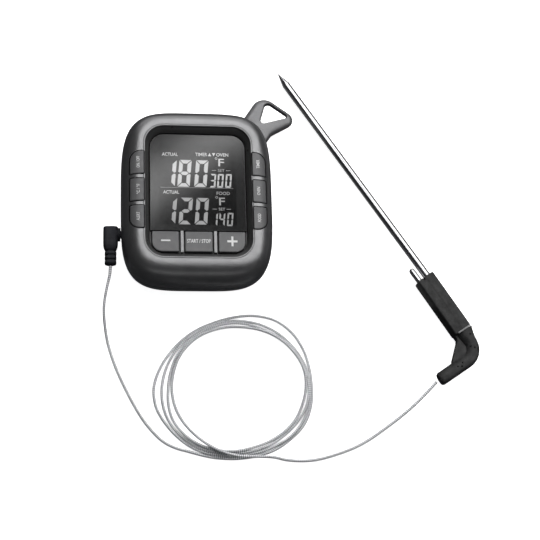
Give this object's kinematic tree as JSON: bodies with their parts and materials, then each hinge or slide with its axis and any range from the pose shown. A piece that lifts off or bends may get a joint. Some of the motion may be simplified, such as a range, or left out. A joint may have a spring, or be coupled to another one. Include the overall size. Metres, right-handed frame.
{
  "type": "meat thermometer",
  "caption": "Digital food and oven thermometer: a hand-sized display unit with side keys, a plugged braided cable and a pointed steel probe with an angled grip.",
  "frame": {"origin": "centre of the display unit's flat back, on the plane it lies on", "axes": "+Z out of the display, +Y towards the top edge of the display, +X to the display's right"},
  "size_m": [0.1881, 0.2052, 0.0265],
  "materials": {
    "case_grey": "satin",
    "case_dark": "matte",
    "button_grey": "matte",
    "lens_black": "gloss",
    "lcd_dark": "gloss",
    "diffuser_white": "satin",
    "component_black": "matte",
    "board_green": "satin",
    "zebra_rubber": "matte",
    "battery_wrap": "gloss",
    "contact_tin": "satin",
    "screw_steel": "satin",
    "contact_gold": "polished",
    "plug_rubber": "matte",
    "probe_steel": "polished",
    "handle_rubber": "matte",
    "cable_braid": "satin",
    "cable_bulk": "satin",
    "lead_wire": "satin"
  },
  "bodies": {
    "unit": {"front_shell": "case_grey", "rear_shell": "case_dark", "display_lens": "lens_black", "lcd_panel": "lcd_dark", "lcd_holder": "component_black", "backlight_diffuser": "diffuser_white", "zebra_strip_upper": "zebra_rubber", "zebra_strip_lower": "zebra_rubber", "main_board": "board_green", "processor_chip": "component_black", "buzzer": "component_black", "jack_socket": "component_black", "cable_lead": "cable_braid", "cable_coil": "cable_bulk", "cable_tail": "cable_braid", "probe_rod": "probe_steel", "oven_sensor_tube": "probe_steel", "food_sensor_bead": "contact_tin", "oven_sensor_bead": "contact_tin", "food_sensor_lead": "lead_wire", "oven_sensor_lead": "lead_wire", "lead_splice": "component_black", "handle_grip": "handle_rubber", "handle_elbow": "handle_rubber", "cable_ferrule": "probe_steel", "minus_switch": "component_black", "start_stop_switch": "component_black", "plus_switch": "component_black", "on_off_switch": "component_black", "units_switch": "component_black", "alert_switch": "component_black", "timer_switch": "component_black", "oven_switch": "component_black", "food_switch": "component_black", "battery_1": "battery_wrap", "battery_spring_1": "contact_tin", "battery_plus_plate_1": "contact_tin", "battery_minus_plate_1": "contact_tin", "battery_2": "battery_wrap", "battery_spring_2": "contact_tin", "battery_plus_plate_2": "contact_tin", "battery_minus_plate_2": "contact_tin", "case_screw_1": "screw_steel", "case_screw_2": "screw_steel", "case_screw_3": "screw_steel", "case_screw_4": "screw_steel"},
    "minus_key": {"minus_button": "button_grey"},
    "start_stop_key": {"start_stop_button": "button_grey"},
    "plus_key": {"plus_button": "button_grey"},
    "on_off_key": {"on_off_button": "button_grey"},
    "units_key": {"units_button": "button_grey"},
    "alert_key": {"alert_button": "button_grey"},
    "timer_key": {"timer_button": "button_grey"},
    "oven_key": {"oven_button": "button_grey"},
    "food_key": {"food_button": "button_grey"},
    "door": {"battery_door": "case_dark"},
    "plug": {"plug_body": "plug_rubber", "plug_sleeve": "contact_gold", "plug_insulator": "component_black", "plug_tip": "contact_gold"}
  },
  "joints": [
    {"name": "minus_press", "type": "slide", "parent": "unit", "child": "minus_key", "axis": [0, 0, -1], "range_m": [0, 0.0008], "stiffness_N_per_m": 600},
    {"name": "start_stop_press", "type": "slide", "parent": "unit", "child": "start_stop_key", "axis": [0, 0, -1], "range_m": [0, 0.0008], "stiffness_N_per_m": 600},
    {"name": "plus_press", "type": "slide", "parent": "unit", "child": "plus_key", "axis": [0, 0, -1], "range_m": [0, 0.0008], "stiffness_N_per_m": 600},
    {"name": "on_off_press", "type": "slide", "parent": "unit", "child": "on_off_key", "axis": [0, 0, -1], "range_m": [0, 0.0008], "stiffness_N_per_m": 600},
    {"name": "units_press", "type": "slide", "parent": "unit", "child": "units_key", "axis": [0, 0, -1], "range_m": [0, 0.0008], "stiffness_N_per_m": 600},
    {"name": "alert_press", "type": "slide", "parent": "unit", "child": "alert_key", "axis": [0, 0, -1], "range_m": [0, 0.0008], "stiffness_N_per_m": 600},
    {"name": "timer_press", "type": "slide", "parent": "unit", "child": "timer_key", "axis": [0, 0, -1], "range_m": [0, 0.0008], "stiffness_N_per_m": 600},
    {"name": "oven_press", "type": "slide", "parent": "unit", "child": "oven_key", "axis": [0, 0, -1], "range_m": [0, 0.0008], "stiffness_N_per_m": 600},
    {"name": "food_press", "type": "slide", "parent": "unit", "child": "food_key", "axis": [0, 0, -1], "range_m": [0, 0.0008], "stiffness_N_per_m": 600},
    {"name": "door_slide", "type": "slide", "parent": "unit", "child": "door", "axis": [0, -1, 0], "range_m": [0, 0.009]},
    {"name": "plug_pull", "type": "slide", "parent": "unit", "child": "plug", "axis": [-1, 0, 0], "range_m": [0, 0.0115]}
  ]
}
